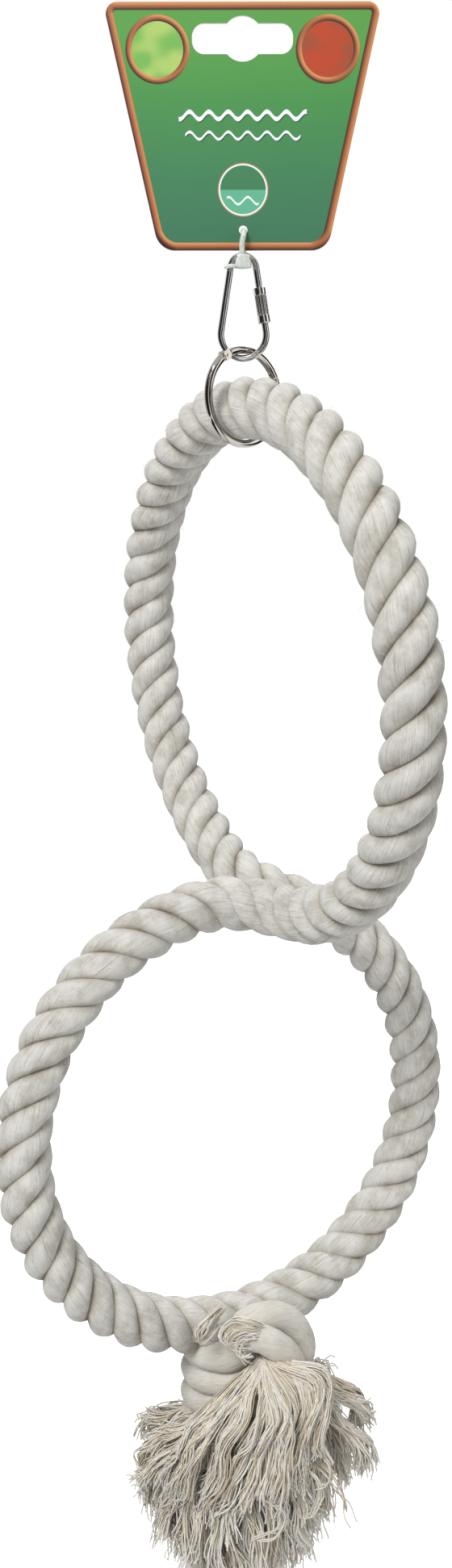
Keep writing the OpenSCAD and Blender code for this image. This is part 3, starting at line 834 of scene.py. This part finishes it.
# Where the rope's ends were opened for tucking, a few yarns came loose. They lie over the front in
# two short combed loops, and single ends hang out at the sides.
loose_loops = [
    [
        (-7, -22, 19), (-11.5, -27.5, 18.4), (-15.2, -28.5, 14.8), (-16, -28.5, 11), (-14.8, -28.5, 8.6),
        (-12.6, -28, 10.4), (-10.4, -27, 14.5), (-7, -22, 17),
    ],
    [
        (-7, -22, 18), (-11, -27.5, 17), (-14, -28.8, 13.8), (-14.4, -28.8, 10.8), (-13.2, -28, 10.4),
        (-11.2, -27, 13.4), (-7, -21, 16),
    ],
    [
        (8, -26, 13), (3, -29.5, 18), (-2, -29.8, 19.6), (-5.8, -30, 16.6), (-7.2, -30.5, 12.6), (-5.6, -30.5, 10.4),
        (-2.6, -30.5, 11.8), (2, -29, 13), (8, -25, 10),
    ],
    [(9, -26, 11), (4.4, -30, 16), (-0.6, -30.8, 17), (-4, -31, 14), (-4.6, -31, 10.8), (-2.4, -31, 9.4), (3, -27, 9)],
    [
        (9, -26, 10), (5, -30.6, 14.4), (1.2, -31.4, 13.8), (-1.4, -31.4, 10.8), (-1.4, -31.4, 7.6), (1, -31, 5.6),
        (4, -27, 6),
    ],
]
loose_ends = [
    [(26, -28, -40), (33, -32, -42.5), (38.4, -33, -52), (41.4, -31, -66)],
    [(22, -33, -38), (27, -36, -41), (29, -36, -50), (25, -36, -57), (20, -37, -55)],
    [(8, -41, -45), (14, -42, -50), (12, -42, -58), (5, -42, -60)],
    [(-19, -22, -30), (-24, -24, -29), (-29.4, -24, -30)],
    [(24, -33, -26), (31, -36, -34), (30, -38, -42), (24, -38, -44)],
]
combed_yarns(
    "knot_loose_loops", yarn_routes(loose_loops, 6), yarns=18, spread_start=0.0012, spread_end=0.0009, wave=0.0002,
    yarn_d=0.00042, seed=300,
)
combed_yarns(
    "tassel_loose_ends", yarn_routes(loose_ends, 6), yarns=5, spread_start=0.0008, spread_end=0.0012, wave=0.0004,
    yarn_d=0.0006, seed=320,
)


# The hang card is board, printed on both faces in green with a copper border and two round copper
# frames, and die-cut with a hanging slot. Its pictures are plain colour patches.
def make_card():
    top_z, bottom_z, top_half, bottom_half = 0.004, -0.070, 0.044, 0.0275
    top_corner_r, bottom_corner_r, border, edge_blur = 0.0035, 0.0065, 0.0024, 0.00008
    frame_z, frame_outer, frame_inner = -0.0098, 0.01015, 0.0082
    badge_z, badge_r, wave_l, wave_h = -0.0515, 0.0078, 0.0062, 0.0011
    white, dark_green, paper_edge = (0.78, 0.81, 0.82), (0.02, 0.075, 0.035), (0.72, 0.69, 0.62)
    badge_white, badge_green, badge_copper = (0.74, 0.80, 0.78), (0.11, 0.40, 0.24), (0.42, 0.17, 0.08)

    paint = Paint("printed board", Roughness=0.5, Specular_IOR_Level=0.25, Coat_Weight=0.03, Coat_Roughness=0.2)
    level = paint.turned(paint.body_place(), -facing)
    across, height = paint.part(level, "X"), paint.part(level, "Z")

    def above_zero(value):
        return paint.math("MAXIMUM", value, 0.0)

    def within(value, edge):
        return paint.mapped(value, edge + edge_blur, edge - edge_blur)

    def distance(x, z):
        dx, dz = across - x, height - z
        return paint.math("SQRT", dx * dx + dz * dz)

    slope = (top_half - bottom_half) / (top_z - bottom_z)
    half_here = (height - bottom_z) * slope + bottom_half
    from_side = (half_here - abs(across)) * math.cos(math.atan(slope))
    upper_half = paint.math("GREATER_THAN", height, (top_z + bottom_z) / 2)
    corner_r = bottom_corner_r - upper_half * (bottom_corner_r - top_corner_r)
    by_top = above_zero(top_corner_r - (top_z - height))
    by_bottom = above_zero(bottom_corner_r - (height - bottom_z))
    by_side = paint.math("SIGN", across) * above_zero(corner_r - from_side)
    to_edge = paint.combined(X=by_side, Z=by_top - by_bottom)
    inset, outward = corner_r - paint.vector("LENGTH", to_edge), paint.vector("NORMALIZE", to_edge)

    tall = paint.mapped(height, bottom_z, top_z) + (paint.noise(level, 40.0) - 0.5) * 0.10
    green = paint.ramp(
        tall, (0.0, (0.045, 0.160, 0.092)), (0.30, (0.048, 0.196, 0.086)), (0.62, (0.061, 0.258, 0.066)),
        (0.85, (0.088, 0.305, 0.062)), (1.0, (0.092, 0.300, 0.058)),
    )
    grain = paint.noise(level, 2600.0)
    picture = paint.mixed(0.5, green, paint.ramp(grain, (0.3, (0.86, 0.86, 0.86)), (0.7, (1, 1, 1))), "MULTIPLY")

    def copper_tube(share_in, out_x, out_z):
        """Printed shading of a round copper bar, lit from the upper right, share_in from its outer edge."""
        lean = 1.0 - share_in * 2.0
        crown = paint.math("SQRT", above_zero(1.0 - lean * lean))
        lit = paint.mapped(lean * (out_x * 0.5 + out_z * 0.6) + crown * 0.45, -0.6, 0.75)
        return paint.ramp(
            lit, (0.0, (0.028, 0.011, 0.008)), (0.38, (0.070, 0.024, 0.014)), (0.62, (0.21, 0.068, 0.030)),
            (0.85, (0.40, 0.142, 0.052)), (1.0, (0.56, 0.25, 0.09)),
        )

    for centre, first, second in (
        (-0.027, (0.16, 0.40, 0.08), (0.36, 0.52, 0.13)),
        (0.027, (0.42, 0.055, 0.018), (0.30, 0.065, 0.03)),
    ):
        away = distance(centre, frame_z)
        patches = paint.mapped(paint.noise(level, 95.0, 1.0), 0.38, 0.62, how="SMOOTHSTEP")
        picture = paint.mixed(within(away, frame_inner + 0.00005), picture, paint.mixed(patches, first, second))
        tube = copper_tube(
            paint.mapped(away, frame_outer, frame_inner), (across - centre) / away, (height - frame_z) / away
        )
        picture = paint.mixed(within(away, frame_outer) * (1.0 - within(away, frame_inner)), picture, tube)

    tube = copper_tube(paint.mapped(inset, 0.0, border), paint.part(outward, "X"), paint.part(outward, "Z"))
    picture = paint.mixed(within(inset, border), picture, tube)

    def wave_mask(middle, reach, thick, shift=0.0):
        """A wavy line across the card, moved right and down by the shift."""
        here, up = across - shift, height + shift
        rise = paint.math("SINE", here * (math.tau / wave_l)) * wave_h
        return within(abs(up - rise - middle), thick) * within(abs(here), reach)

    for middle, reach, thick in ((-0.0292, 0.0205, 0.00066), (-0.0352, 0.0185, 0.00042)):
        picture = paint.mixed(wave_mask(middle, reach, thick, 0.0003), picture, dark_green)
        picture = paint.mixed(wave_mask(middle, reach, thick), picture, white)
    badge = distance(0.0, badge_z)
    picture = paint.mixed(within(badge, badge_r) * within(height, badge_z), picture, badge_green)
    for colour, outer, inner in ((badge_copper, 0.0082, 0.0079), (badge_white, 0.0079, 0.0074)):
        picture = paint.mixed(within(badge, outer) * (1.0 - within(badge, inner)), picture, colour)
    wave = wave_mask(middle=-0.0548, reach=0.0052, thick=0.00036) * within(badge, 0.0066)
    picture = paint.mixed(wave, picture, badge_white)

    facing_part = paint.part(paint.turned(paint.get("ShaderNodeNewGeometry", "True Normal"), -facing), "Y")
    paint.colour(paint.mixed(paint.mapped(abs(facing_part), 0.4, 0.6), paper_edge, picture))
    paint.bump(grain, 0.00004, 0.3)
    for slot in nodes["hang_card"].material_slots:
        slot.material = paint.material


make_card()


# The nylon fastener is one moulded strap: it goes through the card's hole and the link's top bow
# and locks in its own head, and its cut tail stands out at the side. It is milky and lets light in.
def milky_nylon():
    paint = Paint(
        "milky nylon", Roughness=0.34, Transmission_Weight=0.25, Subsurface_Weight=0.5,
        Subsurface_Radius=(0.004, 0.004, 0.005), Subsurface_Scale=0.6, IOR=1.53,
    )
    cloud = paint.noise(paint.body_place(), 420.0)
    paint.colour(paint.ramp(cloud, (0.3, (0.60, 0.66, 0.60)), (0.7, (0.78, 0.81, 0.76))))
    paint.bump(cloud, 0.00015, 0.5)
    return paint.material


def round_bar(name, route, bar_d, sides, material, body):
    """Round bar or wire along the route, with closed ends."""
    source = curve_object(name, [route])
    tree = Tree("round bar", Bar_radius=bar_d / 2, Sides=sides)
    bar = tree.tube(tree.given, tree.ring(tree.size("Sides"), tree.size("Bar radius")))
    made = tree.made_mesh(source, bar, material, name)
    made.data.shade_smooth()
    made.data.set_sharp_from_angle(angle=math.radians(50))
    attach(made, body)
    return made


def make_nylon_head(material):
    """A soft-edged block, a little narrower and uneven toward the top."""
    middle, half_size = Vector((0, -3.15, -73.9)), Vector((2.45, 1.55, 2.2))
    roundness, squareness, narrowing, uneven = 0.42, 0.62, 0.16, 0.05
    work = bmesh.new()
    bmesh.ops.create_cube(work, size=1)
    bmesh.ops.subdivide_edges(work, edges=work.edges, cuts=9, use_grid_fill=True)
    for vert in work.verts:
        spot = vert.co * 2
        soft = Vector(spot).normalized() * roundness + Vector(spot) * squareness
        narrow = 1 - narrowing * spot.z
        lump = 1 + uneven * math.sin(7 * spot.x + 3 * spot.z) * math.cos(5 * spot.z)
        place = Vector((soft.x * half_size.x * narrow, soft.y * half_size.y, soft.z * half_size.z))
        vert.co = level_points([middle + place * lump])[0]
    mesh = bpy.data.meshes.new("nylon_head")
    work.to_mesh(mesh)
    work.free()
    mesh.materials.append(material)
    mesh.shade_smooth()
    head = stood("nylon_head", mesh)
    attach(head, "loop")


def make_nylon():
    material = milky_nylon()
    front, back, top, bottom = -3.0, 3.0, -63.95, -73.8
    loop = [
        (0.1, 0.1, top), (0.25, -1.6, top - 0.3), (0.2, -2.75, top - 1.6), (-0.15, front, top - 3.2),
        (-0.35, front, top - 5.2), (-0.2, front, bottom + 2.6), (0, -2.5, bottom + 0.95), (0, 0, bottom),
        (0, 2.5, bottom + 0.95), (0, back, bottom + 3), (0, back, top - 3.2), (0.05, 2.75, top - 1.6),
        (0.08, 1.6, top - 0.3), (0.1, 0.1, top),
    ]
    strap = round_bar("nylon_strap", smooth_line(level_points(loop), 8), 0.0018, 20, material, "loop")
    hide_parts("card_loop")
    tail = [(-1.2, -3.2, -75.2), (-3.4, -3.2, -75.25), (-5, -3.15, -75.35), (-6.2, -3.1, -75.6)]
    round_bar("nylon_tail", smooth_line(level_points(tail), 6), 0.0013, 16, material, "loop")
    make_nylon_head(material)


make_nylon()


# The screw link is bent from plated steel wire with its mouth in one leg. A sleeve with fine flutes
# between two smooth collars screws over the mouth.
def bright_plate(name, colour, roughness):
    paint = Paint(name, Roughness=roughness, Metallic=1.0)
    place = paint.body_place()
    marks = paint.noise(paint.get("ShaderNodeMapping", Vector=place, Scale=(1.0, 1.0, 0.15)), 2200.0, 3.0)
    cloud = paint.noise(place, 240.0)
    paint.colour(paint.ramp(cloud, (0.35, tuple(c * 0.86 for c in colour)), (0.6, colour)))
    rough = paint.mapped(marks, 0.3, 0.7, roughness * 0.7, roughness * 1.4)
    paint.join(rough, paint.shader.inputs["Roughness"])
    paint.bump(marks, 0.000004, 0.2)
    return paint.material


link_top_r, link_bottom_r, link_upper_z, link_lower_z = 4.2, 7.5, -75.7, -96.3
leg_tilt = math.asin((link_bottom_r - link_top_r) / (link_upper_z - link_lower_z))
leg_l = (link_upper_z - link_lower_z) * math.cos(leg_tilt)
leg_foot = (link_bottom_r * math.cos(leg_tilt), link_lower_z + link_bottom_r * math.sin(leg_tilt))
sleeve_foot, sleeve_l = 0.12 * leg_l, 11.3


def on_leg(side, up):
    return (side * (leg_foot[0] - up * math.sin(leg_tilt)), 0, leg_foot[1] + up * math.cos(leg_tilt))


def make_link():
    mouth_foot, mouth_l, bend_from = sleeve_foot + 1.2, 4.5, 0.3

    def bow(radius, z, first, last, steps):
        return [(radius * math.cos(at), 0, z + radius * math.sin(at)) for at in np.linspace(first, last, steps)]

    wire = [on_leg(1, up) for up in np.linspace(mouth_foot + mouth_l, leg_l - bend_from, 6)]
    wire += bow(link_top_r, link_upper_z, leg_tilt, math.pi - leg_tilt, 33)
    wire += [on_leg(-1, up) for up in np.linspace(leg_l - bend_from, bend_from, 12)]
    wire += bow(link_bottom_r, link_lower_z, math.pi - leg_tilt, math.tau + leg_tilt, 49)
    wire += [on_leg(1, up) for up in np.linspace(bend_from, mouth_foot, 4)]
    plate = bright_plate("bright zinc plate", (0.48, 0.47, 0.455), 0.12)
    link = round_bar("link_wire", level_points(wire), 0.0022, 28, plate, "link")
    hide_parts("link_body")


def make_sleeve():
    outer, bore, collar, chamfer, flutes, flute_deep, sides = 2.0, 1.25, 2.4, 0.2, 12, 0.3, 144
    rows = [
        # height, radius, fluted or not
        (0, bore, 0), (0, outer - chamfer, 0), (chamfer, outer, 0), (collar - 0.25, outer, 0),
        (collar - 0.2, outer - 0.12, 0), (collar, outer - 0.06, 0), (collar + 0.35, outer - 0.04, 1),
    ]
    rows += [(sleeve_l - z, r, f) for z, r, f in reversed(rows)]
    foot, lean = Vector(on_leg(1, sleeve_foot)), Matrix.Rotation(-leg_tilt, 3, "Y")
    verts, faces = [], []
    for number, (z, radius, fluted) in enumerate(rows):
        this, after = number * sides, (number + 1) % len(rows) * sides
        for i in range(sides):
            at, beside = math.tau * i / sides, (i + 1) % sides
            r = radius - fluted * flute_deep * max(0, math.cos(flutes * at)) ** 2
            verts += level_points([foot + lean @ Vector((r * math.cos(at), r * math.sin(at), z))])
            faces.append((this + i, this + beside, after + beside, after + i))
    mesh = bpy.data.meshes.new("sleeve_turned")
    mesh.from_pydata(verts, [], faces)
    mesh.materials.append(bright_plate("turned zinc plate", (0.60, 0.585, 0.56), 0.16))
    mesh.shade_smooth()
    mesh.set_sharp_from_angle(angle=math.radians(35))
    sleeve = stood("sleeve_turned", mesh)
    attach(sleeve, "sleeve")
    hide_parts("link_sleeve")


make_link()
make_sleeve()


# The hinged ring is plated steel wire in two arcs. They are pinned at a flattened knuckle, and a
# tongue on the body enters the gate's end where the ring closes.
def polished(name, body, material):
    """A node's own form with its facets smoothed, as bent and polished wire is."""
    mesh = nodes[name].data.copy()
    mesh.name = f"{name}_polished"
    work = bmesh.new()
    work.from_mesh(mesh)
    bmesh.ops.remove_doubles(work, verts=work.verts, dist=0.000002)
    work.to_mesh(mesh)
    work.free()
    mesh.materials.clear()
    mesh.materials.append(material)
    mesh.shade_smooth()
    mesh.set_sharp_from_angle(angle=math.radians(32))
    piece = stood(mesh.name, mesh)
    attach(piece, body)
    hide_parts(name)


ring_plate = bright_plate("bright nickel plate", (0.42, 0.395, 0.365), 0.10)
polished("ring_body", "ring", ring_plate)
polished("ring_gate", "gate", ring_plate)
# The pin's warm copper tint is a painted reflection of copper on the knuckle, not the colour of the steel.
polished("ring_pin", "ring", bright_plate("pin steel", (0.56, 0.42, 0.31), 0.22))
